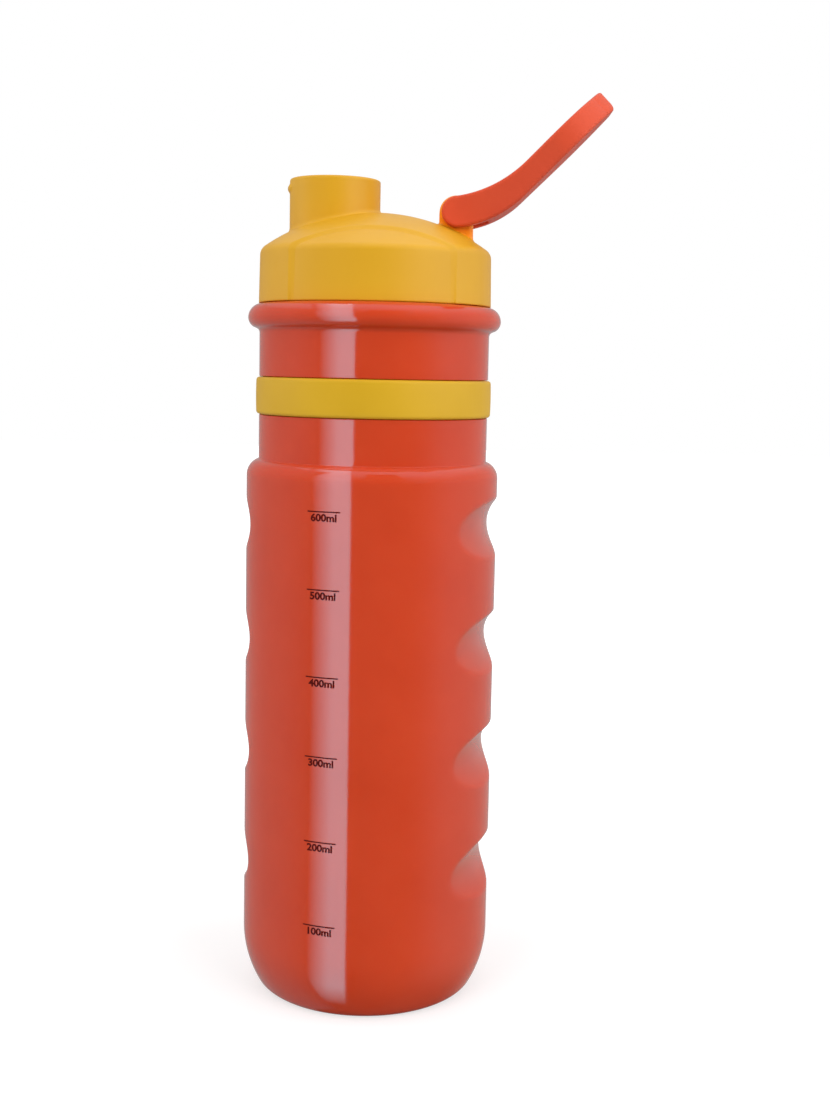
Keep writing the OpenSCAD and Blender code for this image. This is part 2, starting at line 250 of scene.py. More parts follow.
def mesh_object(name, points, faces):
    """Smooth-shaded object from points in millimetres."""
    mesh = bpy.data.meshes.new(name)
    mesh.from_pydata((np.asarray(points) * MM).tolist(), [], [tuple(f) for f in faces])
    mesh.validate()
    mesh.shade_smooth()
    obj = bpy.data.objects.new(name, mesh)
    bpy.context.scene.collection.objects.link(obj)
    return obj


def lathe(name, section, closed=False, columns=192, radius=None, centre=(0.0, 0.0)):
    """Turns a section (r, z) about an upright axis. radius(r, z, angles) may vary a row round the
    axis. An open section starts and ends on the axis."""
    section = np.asarray(section, float)
    angles = TAU * np.arange(columns) / columns
    wall = section if closed else section[1:-1]
    rings = []
    for r, z in wall:
        radii = np.full(columns, r) if radius is None else radius(r, z, angles)
        x, y = radii * np.cos(angles), radii * np.sin(angles)
        rings.append(np.stack([x, y, np.full(columns, z)], 1))
    points = np.concatenate(rings)
    faces = []
    rows = len(wall)
    for row in range(rows if closed else rows - 1):
        a = row * columns + np.arange(columns)
        b = row * columns + np.roll(np.arange(columns), -1)
        up = (((row + 1) % rows) - row) * columns
        faces.append(np.stack([a, b, b + up, a + up], 1))
    faces = np.concatenate(faces).tolist()
    if not closed:
        poles = np.array([[0, 0, section[0][1]], [0, 0, section[-1][1]]])
        points = np.concatenate([points, poles])
        first, last = len(points) - 2, len(points) - 1
        top = (rows - 1) * columns
        for k in range(columns):
            n = (k + 1) % columns
            faces.append((first, n, k))
            faces.append((last, top + k, top + n))
    points[:, :2] += centre
    return mesh_object(name, points, faces)


SETTLE_ROUNDS = 4
SETTLE_NUDGE = 0.02
SETTLE_SHARE = 0.4
LEAST_SLOPE = 0.05


def field_points(field, low, high, pitch):
    """Points and quads of a field's zero surface: one point in each grid cell that it crosses,
    settled onto the surface along the field's gradient."""
    low = np.array(low, float)
    count = np.ceil((np.array(high) - low) / pitch).astype(int) + 1
    axes = [low[i] + pitch * np.arange(count[i]) for i in range(3)]
    values = np.empty(count)
    for i, x in enumerate(axes[0]):
        y, z = np.meshgrid(axes[1], axes[2], indexing="ij")
        values[i] = field(np.full(y.shape, x), y, z)
    inside = values < 0
    cells = np.zeros(count - 1, int)
    corners = [(i, j, k) for i in (0, 1) for j in (0, 1) for k in (0, 1)]

    def corner(array, c):
        return array[c[0]:count[0] - 1 + c[0], c[1]:count[1] - 1 + c[1], c[2]:count[2] - 1 + c[2]]

    for c in corners:
        cells += corner(inside, c)
    where = np.argwhere((cells > 0) & (cells < 8))
    index = np.full(count - 1, -1)
    index[tuple(where.T)] = np.arange(len(where))
    total = np.zeros((len(where), 3))
    hits = np.zeros(len(where))
    for c in corners:
        for axis in range(3):
            if c[axis]:
                continue
            d = tuple(1 if n == axis else c[n] for n in range(3))
            va = corner(values, c)[tuple(where.T)]
            vb = corner(values, d)[tuple(where.T)]
            crossing = (va < 0) != (vb < 0)
            t = np.where(crossing, va / np.where(crossing, va - vb, 1), 0)
            spot = np.array(c, float) + t[:, None] * (np.array(d) - np.array(c))
            total += np.where(crossing[:, None], spot, 0)
            hits += crossing
    points = low + (where + total / hits[:, None]) * pitch
    nudges = SETTLE_NUDGE * np.eye(3)
    most = SETTLE_SHARE * pitch
    for _ in range(SETTLE_ROUNDS):
        value = field(*points.T)
        gradient = np.stack([
            field(*(points + nudge).T) - field(*(points - nudge).T) for nudge in nudges
        ], 1) / (2 * SETTLE_NUDGE)
        slope = np.maximum((gradient ** 2).sum(1), LEAST_SLOPE)
        points -= np.clip(gradient * (value / slope)[:, None], -most, most)
    quads = []
    for axis in range(3):
        one, two = (axis + 1) % 3, (axis + 2) % 3
        ahead = np.take(inside, np.arange(1, count[axis]), axis)
        here = np.take(inside, np.arange(count[axis] - 1), axis)
        edges = np.argwhere(ahead != here)
        edges = edges[(edges[:, one] > 0) & (edges[:, two] > 0)]
        edges = edges[(edges[:, one] < count[one] - 1) & (edges[:, two] < count[two] - 1)]
        back_one, back_two = np.eye(3, dtype=int)[one], np.eye(3, dtype=int)[two]
        quad = np.stack([
            index[tuple((edges - back_one - back_two).T)], index[tuple((edges - back_two).T)],
            index[tuple(edges.T)], index[tuple((edges - back_one).T)],
        ], 1)
        flip = ~here[tuple(edges.T)]
        quad[flip] = quad[flip][:, ::-1]
        quads.append(quad)
    return points, np.concatenate(quads)


# Bottle body

GROOVE_HEIGHTS = [39.7 + 33.5 * i for i in range(4)]
GROOVE_TURN = math.radians(-13.4)
GROOVE_RUN_OUT = math.radians(33.6)
GROOVE_SECTION_R = 11.1
GROOVE_REACH = GROOVE_SECTION_R + 3
GROOVE_FLOOR = BODY_R - 4.0
GROOVE_SHIFT = (BODY_R ** 2 - GROOVE_FLOOR ** 2) / (
    2 * (GROOVE_FLOOR - BODY_R * math.cos(GROOVE_RUN_OUT)))
GROOVE_RING_R = GROOVE_FLOOR + GROOVE_SHIFT + GROOVE_SECTION_R
GROOVE_SOFT = 0.55
GRIP_LEAST_R = 25.0
GRIP_HALVINGS = 28


def grip_radius(angles, z, inset):
    """Radius of the gripped wall at one height, finger grooves pressed into both sides."""
    low, high = np.full(angles.shape, GRIP_LEAST_R), np.full(angles.shape, BODY_R + 1)
    for _ in range(GRIP_HALVINGS):
        r = (low + high) / 2
        level = r - (BODY_R - inset)
        for height in GROOVE_HEIGHTS:
            if abs(z - height) > GROOVE_REACH:
                continue
            for side in (0, math.pi):
                turn = angles - GROOVE_TURN - side
                along, across = r * np.cos(turn) + GROOVE_SHIFT, r * np.sin(turn)
                from_ring = np.hypot(along, across) - GROOVE_RING_R
                groove = np.hypot(from_ring, z - height) - GROOVE_SECTION_R - inset
                level = cut(level, groove, GROOVE_SOFT)
        outside = level > 0
        high, low = np.where(outside, r, high), np.where(outside, low, r)
    return (low + high) / 2


# The collar's underside is a little flatter than a round roll, with a soft foot on the neck
COLLAR_UNDER = 0.83
COLLAR_FOOT = (NECK_R, 196.35, 1.4)
COLLAR_START = (35.33, 197.1)
RING_R = BODY_R - BASE_INSET
PUSH_UP_Z = PUSH_UP_RISE - PUSH_UP_ROUND
PUSH_UP_TURN = 0.273
FLOOR_TURN = 0.16
FLOOR_LEAN = 0.82
FOOT = [(20.2, 0.24), (21.2, 0.0, 1.0), (RING_R, 0.0)]
NECK_INSIDE = [
    (MOUTH_R, 195.6, 0.9), (NECK_BORE, 193.4, 1.0), (NECK_BORE, 158.4, 1.0), (32.2, 157.4),
]
FLOOR_EDGE = [(29.2, 2.9, 3.0), (21.0, 2.9, 6.0), (14.0, 4.3)]


def body_section():
    """The bottle's wall, from the middle of the base up the outside and back down the inside."""
    push_up = [(PUSH_UP_ROUND * math.sin(a), PUSH_UP_Z + PUSH_UP_ROUND * math.cos(a))
               for a in np.linspace(0, PUSH_UP_TURN, 14)]
    side_round = (BASE_INSET ** 2 + BASE_RISE ** 2 - 2 * BASE_RISE * HEEL_ROUND) / (
        2 * (BASE_INSET - HEEL_ROUND))
    side_centre = (BODY_R - side_round, BASE_RISE)
    lean = math.degrees(math.atan2(HEEL_ROUND - BASE_RISE, RING_R - side_centre[0]))
    foot = rounded(FOOT)
    heel = arc((RING_R, HEEL_ROUND), HEEL_ROUND, -90, lean, 10)
    side = arc(side_centre, side_round, lean, 0, 24)
    shoulder_centre = (BODY_R - SHOULDER_ROUND, SHOULDER_TOP - SHOULDER_ROUND)
    shoulder = arc(shoulder_centre, SHOULDER_ROUND, 0, 68, 12)
    neck = rounded([
        shoulder[-1], (NECK_R, SHOULDER_TOP - 0.25, 0.8), (NECK_R, BAND_Z - 0.15, 0.3),
        (SEAT_R, BAND_Z - 0.1, 0.15), (SEAT_R, BAND_Z + BAND_H + 0.1, 0.15),
        (NECK_R, BAND_Z + BAND_H + 0.15, 0.3), COLLAR_FOOT, COLLAR_START,
    ])
    collar = [(r, z if z > COLLAR_Z else COLLAR_Z - (COLLAR_Z - z) * COLLAR_UNDER)
              for r, z in arc((COLLAR_RING_R, COLLAR_Z), COLLAR_SECTION_R, -50, 90, 26)]
    collar_top = COLLAR_Z + COLLAR_SECTION_R
    finish = rounded([
        (COLLAR_RING_R - 0.3, collar_top), (FINISH_R, collar_top, 0.5),
        (FINISH_R, FINISH_TOP, 0.6), (MOUTH_R, FINISH_TOP, 0.6), *NECK_INSIDE,
    ])
    inside_round = arc(shoulder_centre, SHOULDER_ROUND - BODY_WALL, 70, 0)
    floor_side = arc(side_centre, side_round - BODY_WALL, 0, lean * FLOOR_LEAN, 16)
    floor_edge = rounded([floor_side[-1], *FLOOR_EDGE])
    floor_round = PUSH_UP_ROUND + BASE_WALL
    floor = [(floor_round * math.sin(a), PUSH_UP_Z + floor_round * math.cos(a))
             for a in np.linspace(FLOOR_TURN, 0, 8)]
    outside = push_up + foot[1:] + heel[1:] + side[1:] + shoulder + neck[1:] + collar[1:] + finish
    return outside + inside_round + floor_side + floor_edge[1:] + floor


GRIP_LEAST_H = 100
GRIP_STEP = 0.75
GRIP_INSIDE_STEP = 2.5
THREAD_STEP = 0.22
PLAIN_STEP = 1.6


def body_rows():
    """Rows of the lathed wall, fine in the grip and the thread and coarser elsewhere."""
    path = body_section()
    rows = [path[0]]
    for a, b in zip(path[:-1], path[1:]):
        step = PLAIN_STEP
        if a[0] == b[0] and abs(b[1] - a[1]) > GRIP_LEAST_H:
            step = GRIP_INSIDE_STEP if a[0] < BODY_R - 0.1 else GRIP_STEP
        elif abs(a[0] - FINISH_R) < 0.01 and abs(b[0] - FINISH_R) < 0.01:
            step = THREAD_STEP
        rows += stretch(a, b, step)
    return rows


NECK_THREAD_FOOT = 204.6
NECK_THREAD_Z = 206.2
NECK_THREAD_TURNS = 2.0
NECK_THREAD_DEPTH = 0.85
NECK_THREAD_HALF_W = 0.95
NECK_THREAD_FLANK = 0.5


def body_radius(r, z, angles):
    """Radius of one row of the wall: grooved in the grip, threaded on the finish, else round."""
    if BASE_RISE < z < SHOULDER_TOP - SHOULDER_ROUND:
        if abs(r - BODY_R) < 0.01:
            return grip_radius(angles, z, 0.0)
        if abs(r - BODY_R + BODY_WALL) < 0.01:
            return grip_radius(angles, z, BODY_WALL)
    if abs(r - FINISH_R) < 0.01 and z > NECK_THREAD_FOOT:
        gap, fade = helix_gap(angles, np.full(angles.shape, z), NECK_THREAD_Z, NECK_THREAD_TURNS)
        flank = np.clip((NECK_THREAD_HALF_W - np.abs(gap)) / NECK_THREAD_FLANK, 0, 1)
        return r + NECK_THREAD_DEPTH * fade * flank
    return np.full(angles.shape, r)


body = lathe("bottle", body_rows(), columns=288, radius=body_radius)


# Grip band: its edges are soft and its face is very slightly crowned

BAND_R = 34.3
BAND_GAP = 0.06
BAND_ROUND = 0.9
BAND_CROWN = 0.12


def ring_loop(r0, r1, z0, z1, outer, inner=0.25):
    """Section of a ring between two radii and two heights, with its edges rounded."""
    corners = [(r0, z0, inner), (r1, z0, outer), (r1, z1, outer), (r0, z1, inner)]
    return rounded(corners, closed=True)


def band_radius(r, z, angles):
    """Radius of one row of the band: its outer face swells a little between its edges."""
    crown = 1 - ((z - BAND_Z - BAND_H / 2) / (BAND_H / 2)) ** 2
    return np.full(angles.shape, r + (BAND_CROWN * crown if r > SEAT_R + 1 else 0.0))


band_loop = ring_loop(SEAT_R + BAND_GAP, BAND_R, BAND_Z, BAND_Z + BAND_H, BAND_ROUND)
band_rows = subdivided(band_loop, 0.8, closed=True)
band = lathe("neck_band", band_rows, closed=True, columns=256, radius=band_radius)


# Screw cap

PANEL_HALF_W = 22.7
PANEL_EDGE_Y = 24.5
PANEL_DEPTH = 0.75
PANEL_SOFT = 0.55
CAP_FLARE = 0.37
CAP_BELOW = CAP_EDGE - 5
SPOUT_FOOT = 218.0
SPOUT_ROUND = 0.7
NUB_R = 1.4
NUB_INSET = 0.8
NUB_DROP = 2.8
NUB_HALF_SPAN = math.radians(18)
LUG_R = 4.9
LUG_HALF_W = 4.6
LUG_DROP = 12
LUG_ROUND = 1.1
PIN_HOLE_R = 2.0
SOCKET_R = 8.51
SOCKET_FOOT = 211.2
SOCKET_BORE = 6.51
SOCKET_TOP = 221.3
CAP_THREAD_Z = 204.6
CAP_THREAD_TURNS = 2.2
CAP_THREAD_DEPTH = 0.75
CAP_THREAD_FLAT = 0.25

cap_profile = [(0.0, CAP_BELOW), (CAP_R + CAP_FLARE, CAP_BELOW), (CAP_R, CAP_SHOULDER[1])]
shoulder_turn = math.degrees(math.atan2(CAP_SHOULDER[1] - DOME_Z, CAP_SHOULDER[0]))
cap_profile += arc(CAP_SHOULDER, CAP_SHOULDER_ROUND, 0, shoulder_turn, 10)[1:]
cap_profile += arc((0, DOME_Z), DOME_R, shoulder_turn, 90, 48)[1:]
cap_outside = section_field(cap_profile)


def block(distance, low, high, z, r):
    """Upright piece with the given plan distance, between two heights, its ends rounded."""
    return meet(distance, np.maximum(low - z, z - high), r)


def lug_field(x, y, z):
    """Round-topped lug that carries the lid's hinge."""
    ahead, up = x - HINGE[0], z - HINGE[2]
    plan = np.where(up > 0, np.hypot(ahead, up), np.abs(ahead)) - LUG_R
    return meet(np.maximum(plan, -up - LUG_DROP), np.abs(y) - LUG_HALF_W, LUG_ROUND)


def cap_field(x, y, z):
    """The whole cap: skin with its panels, spout, lug, hollow inside, tube socket and thread.
    The last number of each join, cut and meet is how far its edge is softened, in millimetres."""
    r = np.hypot(x, y)
    shell = cap_outside(r, z)
    window = np.maximum(np.abs(x) - PANEL_HALF_W, PANEL_EDGE_Y - np.abs(y))
    skin = meet(shell + PANEL_DEPTH * ramp(-window, -PANEL_SOFT, PANEL_SOFT), CAP_EDGE - z, 0.22)
    from_spout = np.hypot(x - SPOUT_X, y)
    spout = block(from_spout - SPOUT_R, SPOUT_FOOT, SPOUT_TOP, z, SPOUT_ROUND)
    turned = np.arctan2(y, -(x - SPOUT_X))
    off = np.maximum(np.abs(turned) - NUB_HALF_SPAN, 0) * SPOUT_R
    out, up = from_spout - SPOUT_R + NUB_INSET, z - SPOUT_TOP + NUB_DROP
    nub = np.sqrt(out ** 2 + up ** 2 + off ** 2) - NUB_R
    solid = join(skin, join(spout, nub, 0.4), 1.1)
    solid = join(solid, lug_field(x, y, z), 0.9)
    hollow = np.maximum(r - CAP_BORE, z - CAP_SEAT)
    from_dome = np.sqrt(r ** 2 + (z - DOME_Z) ** 2)
    dome_inside = np.maximum(from_dome - DOME_R + CAP_THICK, r - DOME_BORE)
    solid = cut(solid, np.minimum(hollow, dome_inside), 0.35)
    from_tube = np.hypot(x - TUBE_X, y)
    socket = np.maximum(block(from_tube - SOCKET_R, SOCKET_FOOT, 240.0, z, 0.3), shell + 0.8)
    solid = join(solid, socket, 0.5)
    flare = 0.55 * ramp(z, SPOUT_TOP - 0.1, SPOUT_TOP - 1.1)
    solid = cut(solid, from_spout - SPOUT_BORE + flare, 0.3)
    solid = cut(solid, np.maximum(from_tube - SOCKET_BORE, z - SOCKET_TOP), 0.25)
    pin_hole = np.hypot(x - HINGE[0], z - HINGE[2]) - PIN_HOLE_R
    solid = cut(solid, np.maximum(pin_hole, np.abs(y) - 6), 0.25)
    gap, fade = helix_gap(np.arctan2(y, x), z, CAP_THREAD_Z, CAP_THREAD_TURNS)
    beside = np.maximum(np.abs(gap) - CAP_THREAD_FLAT, 0)
    ridge = np.hypot(beside, r - CAP_BORE) - CAP_THREAD_DEPTH * fade
    return join(solid, np.maximum(np.maximum(ridge, r - CAP_BORE - 0.5), 0.3 - fade), 0.25)


cap_pitch = 0.36
cap_points, cap_quads = field_points(cap_field, (-35, -35, 203), (35, 35, 241), cap_pitch)
cap = mesh_object("cap_shell", cap_points, cap_quads)


# Flip lid, in its own closed frame: u from the hinge to the spout, v across, w up

LID_TOP = 10.4
LID_RIM = 3.8
LID_PLATE = 1.2
LID_PLATE_W = 9.2
LID_WALL = 1.8
LID_END = 53.25
LID_EDGE_ROUND = 0.9
ARM_R = 4.3
SPOUT_U = 35.15
POCKET_R = 14.8
SKIRT_R = 16.6
THUMB_R = 12.0
THUMB_ROUND = 2
THUMB_RIM_ROUND = 0.5
FORK_IN = 4.9
FORK_OUT = 8.2
FORK_START = -6.0
FORK_BLEND_R = 46.0
SLOT_END = 5.5
PLUG_FOOT = 7.1
TRUNNION_R = 1.95
TRUNNION_REACH = 3.2
TRUNNION_ROOT = 1.6
OUTER_BEND_R = 30.0
RIM_BEND_R = 34.0
outer_bend = (math.sqrt((OUTER_BEND_R - ARM_R) ** 2 - (OUTER_BEND_R - LID_TOP) ** 2),
              LID_TOP - OUTER_BEND_R)
rim_bend = (math.sqrt((RIM_BEND_R + ARM_R) ** 2 - (RIM_BEND_R - LID_RIM) ** 2),
            LID_RIM - RIM_BEND_R)


def lid_side_loop():
    """Side view of the lid, from the rim's straight part round the arm's end to the thumb lip."""
    rim_turn = math.degrees(math.atan2(-rim_bend[1], -rim_bend[0]))
    arm_under = math.degrees(math.atan2(rim_bend[1], rim_bend[0]))
    outer_turn = math.degrees(math.atan2(-outer_bend[1], -outer_bend[0]))
    loop = arc(rim_bend, RIM_BEND_R, 90, rim_turn, 24)
    loop += arc((0, 0), ARM_R, arm_under + 360, outer_turn, 36)[1:]
    loop += arc(outer_bend, OUTER_BEND_R, outer_turn, 90, 24)[1:]
    loop += arc((LID_END - THUMB_ROUND, LID_TOP - THUMB_ROUND), THUMB_ROUND, 90, 0, 8)
    rim_corner = (LID_END - THUMB_RIM_ROUND, LID_RIM + THUMB_RIM_ROUND)
    return loop + arc(rim_corner, THUMB_RIM_ROUND, 0, -90, 4)


def lid_plan_loop(r, half_w, end=None):
    """The lid seen from above: it widens from the fork to a round end, with a thumb lip if end is
    given."""
    reach = math.hypot(SPOUT_U, half_w)
    turn = 180 - math.degrees(math.atan2(half_w, SPOUT_U)) - math.degrees(math.acos(r / reach))
    corner = (0.0, half_w, FORK_BLEND_R)
    tangent = arc((SPOUT_U, 0), r, turn, turn, 1)[0]
    flare = rounded([(FORK_START, half_w), corner, tangent], steps=16)
    loop = [(u, -v) for u, v in flare[:-1]]
    if end is None:
        loop += arc((SPOUT_U, 0), r, -turn, turn, 60)
    else:
        far = end - THUMB_R
        meet_x = (r ** 2 - THUMB_R ** 2 - SPOUT_U ** 2 + far ** 2) / (2 * (far - SPOUT_U))
        height = math.sqrt(r ** 2 - (meet_x - SPOUT_U) ** 2)
        big = math.degrees(math.atan2(height, meet_x - SPOUT_U))
        small = math.degrees(math.atan2(height, meet_x - far))
        loop += arc((SPOUT_U, 0), r, -turn, -big, 40)
        loop += arc((far, 0), THUMB_R, -small, small, 24)[1:]
        loop += arc((SPOUT_U, 0), r, big, turn, 40)[1:]
    return loop + flare[-2::-1]


lid_side = section_field(lid_side_loop())
lid_plan = section_field(lid_plan_loop(SKIRT_R, FORK_OUT, LID_END))
lid_plan_in = section_field(lid_plan_loop(POCKET_R, FORK_OUT - LID_WALL))


def lid_field(u, v, w):
    """The whole lid: shell, pocket round the spout, channel behind it, fork, plug and trunnions."""
    shell = meet(lid_side(u, w), lid_plan(u, v), LID_EDGE_ROUND)
    from_spout = np.hypot(u - SPOUT_U, v)
    pocket = np.maximum(from_spout - POCKET_R, w - LID_PLATE_W)
    bend = np.hypot(u - outer_bend[0], w - outer_bend[1]) - OUTER_BEND_R + LID_PLATE
    under = np.where(u > outer_bend[0], w - LID_PLATE_W, bend)
    channel = np.maximum(np.maximum(under, lid_plan_in(u, v)), SLOT_END + LID_WALL - u)
    lid = cut(shell, join(pocket, channel, 0.8), 0.4)
    lid = cut(lid, np.maximum(np.abs(v) - FORK_IN, u - SLOT_END), 0.35)
    plug = block(from_spout - PLUG_R, PLUG_FOOT, 10.0, w, 0.35)
    lid = join(lid, np.maximum(plug, w - LID_TOP + 0.3), 0.35)
    across = np.abs(v)
    ends = np.maximum(FORK_IN - TRUNNION_REACH - across, across - FORK_IN - TRUNNION_ROOT)
    return join(lid, meet(np.hypot(u, w) - TRUNNION_R, ends, 0.3), 0.3)


def lid_place(points):
    """From the lid's closed frame to where it stands open, at 135 degrees."""
    u, v, w = np.asarray(points, float).T
    half = math.sqrt(0.5)
    return HINGE + np.stack([half * (u + w), v, half * (u - w)], 1)


lid_pitch = 0.3
lid_points, lid_quads = field_points(lid_field, (-6, -18, -6), (55, 18, 12), lid_pitch)
lid = mesh_object("lid_shell", lid_place(lid_points), lid_quads[:, ::-1])


# Seals and the ice tube

LID_SEAL_BORE = 8.06
LID_SEAL_FOOT = 7.2
LID_SEAL_TOP = 9.1
GASKET_R = 31.6
GASKET_FOOT = 216.0
GASKET_TOP = 218.0
TUBE_FOOT = 68.0
TUBE_FLOOR = 69.2
STOPPER_FOOT = 198.1
STOPPER_R = 9.74
RING_SEAT_R = 8.08
RING_SEAT = (202.2, 204.0)
FLANGE = (208.1, 211.1)
RING_MIDDLE = (8.94, 203.1)
RING_SECTION_R = 0.8

seal_rows = subdivided(rounded([
    (LID_SEAL_BORE, LID_SEAL_FOOT, 0.2), (10.1, LID_SEAL_FOOT, 0.3),
    (10.55, LID_SEAL_TOP, 0.3), (LID_SEAL_BORE, LID_SEAL_TOP, 0.2),
], closed=True), 0.6, closed=True)
lid_seal = lathe("lid_plug_ring", seal_rows, closed=True, columns=128)
seal_points = np.array([v.co for v in lid_seal.data.vertices]) / MM
seal_points[:, 0] += SPOUT_U
seal_points = (lid_place(seal_points) * MM).astype(np.float32)
lid_seal.data.vertices.foreach_set("co", seal_points.ravel())
lid_seal.data.flip_normals()

gasket_loop = ring_loop(DOME_BORE, GASKET_R, GASKET_FOOT, GASKET_TOP, 0.35, 0.35)
gasket = lathe("gasket_ring", subdivided(gasket_loop, 0.8, closed=True), closed=True, columns=192)

tube_wall = rounded([
    (3.0, TUBE_FOOT), (TUBE_R, TUBE_FOOT, 5.0), (TUBE_R, TUBE_TOP, 0.4),
    (TUBE_BORE, TUBE_TOP, 0.4), (TUBE_BORE, TUBE_FLOOR, 3.8), (3.0, TUBE_FLOOR),
], steps=8)
tube_rows = subdivided([(0.0, TUBE_FOOT)] + tube_wall + [(0.0, TUBE_FLOOR)], 4.0)
tube = lathe("cooling_tube", tube_rows, columns=96, centre=(TUBE_X, 0.0))

stopper_wall = rounded([
    (4.0, STOPPER_FOOT), (STOPPER_R, STOPPER_FOOT, 0.8), (STOPPER_R, RING_SEAT[0], 0.2),
    (RING_SEAT_R, RING_SEAT[0], 0.2), (RING_SEAT_R, RING_SEAT[1], 0.2),
    (STOPPER_R, RING_SEAT[1], 0.2), (STOPPER_R, FLANGE[0], 0.2), (TUBE_R, FLANGE[0], 0.4),
    (TUBE_R, FLANGE[1], 0.6), (SPIGOT_R, FLANGE[1], 0.4), (SPIGOT_R, SPIGOT_TOP, 0.8),
    (3.0, SPIGOT_TOP),
])
stopper_rows = subdivided([(0.0, STOPPER_FOOT)] + stopper_wall + [(0.0, SPIGOT_TOP)], 1.5)
stopper = lathe("tube_stopper", stopper_rows, columns=96, centre=(TUBE_X, 0.0))

ring_rows = arc(RING_MIDDLE, RING_SECTION_R, 0, 360, 24)[:-1]
o_ring = lathe("stopper_ring", ring_rows, closed=True, columns=96, centre=(TUBE_X, 0.0))


# Printed volume scale: a line and a plain number at each 100 ml

SCALE_START = math.radians(-26.3)
SCALE_END = math.radians(-11.3)
SCALE = {600: 146.5, 500: 124.8, 400: 100.3, 300: 77.6, 200: 53.1, 100: 28.6}
INK_R = BODY_R + 0.03
INK_HALF_THICK = 0.02
NUMBER_SIZE = 2.87
NUMBER_WIDEN = 1.09
NUMBER_WEIGHT = 0.085
NUMBER_MIDDLE = 4.85
NUMBER_DROP = 2.6
LINE_HALF_H = 0.17
LINE_STEPS = 24


def on_body(across, z, lift=0.0):
    """Point on the body's front, from a distance round it to the right of the scale's left end."""
    turn = SCALE_START + across / BODY_R
    r = INK_R + lift
    return (r * math.sin(turn), -r * math.cos(turn), z)


def scale_mark(value, height):
    """One mark of the scale: a short line round the body, with its number wrapped on below."""
    curve = bpy.data.curves.new(f"number_{value}", "FONT")
    curve.body = f"{value}ml"
    curve.size = NUMBER_SIZE
    curve.offset = NUMBER_WEIGHT
    curve.extrude = INK_HALF_THICK
    curve.resolution_u = 4
    curve.align_x = "CENTER"
    text = bpy.data.objects.new(f"number_{value}", curve)
    bpy.context.scene.collection.objects.link(text)
    shape = text.evaluated_get(bpy.context.evaluated_depsgraph_get()).to_mesh()
    points = [on_body(NUMBER_MIDDLE + v.co.x * NUMBER_WIDEN, height - NUMBER_DROP + v.co.y, v.co.z)
              for v in shape.vertices]
    faces = [tuple(p.vertices) for p in shape.polygons]
    text.to_mesh_clear()
    bpy.data.objects.remove(text)
    wide = (SCALE_END - SCALE_START) * BODY_R
    start = len(points)
    thick, high = INK_HALF_THICK, LINE_HALF_H
    for k in range(LINE_STEPS + 1):
        for lift, z in ((-thick, -high), (thick, -high), (thick, high), (-thick, high)):
            points.append(on_body(wide * k / LINE_STEPS, height + z, lift))
    for k in range(LINE_STEPS):
        a = start + 4 * k
        for j in range(4):
            n = (j + 1) % 4
            faces.append((a + j, a + n, a + 4 + n, a + 4 + j))
    last = start + 4 * LINE_STEPS
    faces += [(start + 3, start + 2, start + 1, start), (last, last + 1, last + 2, last + 3)]
    mark = mesh_object(f"scale_{value}", points, faces)
    mark.data.shade_flat()
    return mark


marks = [scale_mark(value, height) for value, height in SCALE.items()]


# Materials

def srgb(*levels):
    """Linear colour from 0-255 display levels."""
    linear = [((v / 255 + 0.055) / 1.055) ** 2.4 if v > 10 else v / 255 / 12.92 for v in levels]
    return (*linear, 1.0)


def map_range(tree, value, start, end, low, high, smooth=False):
    """Socket that runs from low to high while value runs from start to end. Ends may be sockets."""
    node = tree.nodes.new("ShaderNodeMapRange")
    node.interpolation_type = "SMOOTHSTEP" if smooth else "LINEAR"
    ends = {"From Min": start, "From Max": end, "To Min": low, "To Max": high}
    for key, number in ends.items():
        if isinstance(number, bpy.types.NodeSocket):
            tree.links.new(number, node.inputs[key])
        else:
            node.inputs[key].default_value = number
    tree.links.new(value, node.inputs["Value"])
    return node.outputs["Result"]


def maths(tree, operation, first, second):
    """Socket that joins two others by a sum, a product or the like."""
    node = tree.nodes.new("ShaderNodeMath")
    node.operation = operation
    tree.links.new(first, node.inputs[0])
    tree.links.new(second, node.inputs[1])
    return node.outputs[0]


